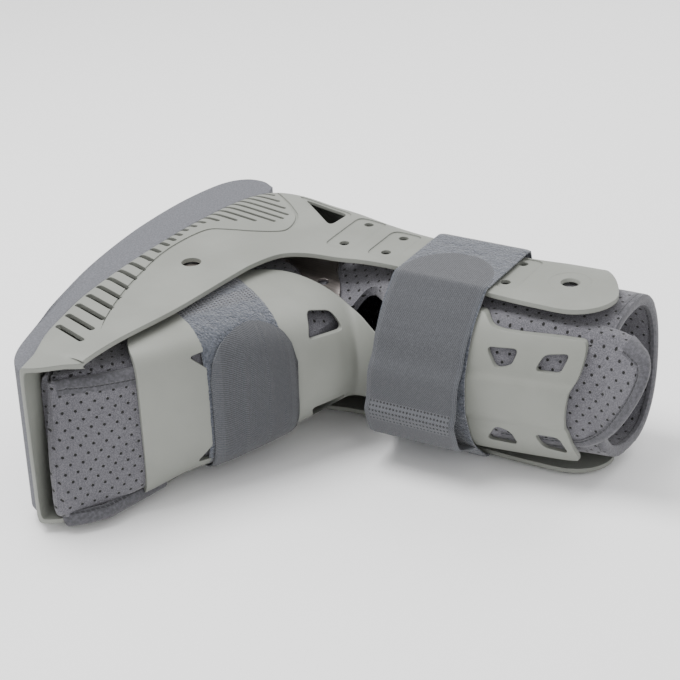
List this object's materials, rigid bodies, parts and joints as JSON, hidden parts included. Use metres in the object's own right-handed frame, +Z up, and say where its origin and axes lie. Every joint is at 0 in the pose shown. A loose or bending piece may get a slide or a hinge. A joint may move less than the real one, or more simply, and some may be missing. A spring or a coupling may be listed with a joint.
{
  "type": "medical walking boot",
  "caption": "Medical walking boot lying on its side, with a slotted shell, rocker sole, padded liner, instep and shin guards and hook and loop straps.",
  "frame": {"origin": "middle of the boot's bounding box, on the surface that it lies on", "axes": "+X up the leg from the sole, +Y from the toe towards the heel, +Z up, across the boot"},
  "size_m": [0.3714, 0.3042, 0.1235],
  "materials": {
    "shell_plastic": "satin moulded plastic",
    "sole_rubber": "matt rubber",
    "padding": "perforated padded knit",
    "loop_fabric": "brushed loop fabric",
    "hook_fabric": "woven twill webbing",
    "bracket_metal": "brushed"
  },
  "bodies": {
    "root": {"shell": "shell_plastic", "outsole": "sole_rubber", "insole": "padding", "liner_foot": "padding", "liner_heel": "padding", "liner_leg": "padding", "toe_flap": "padding", "shin_flap": "padding", "instep_guard": "shell_plastic", "shin_guard": "shell_plastic", "foot_strap": "loop_fabric", "foot_strap_tab": "hook_fabric", "leg_strap": "loop_fabric", "leg_strap_tab": "hook_fabric", "ankle_bracket_upper": "bracket_metal", "ankle_bracket_lower": "bracket_metal", "foot_rivet_upper": "bracket_metal", "foot_rivet_lower": "bracket_metal"}
  },
  "joints": []
}
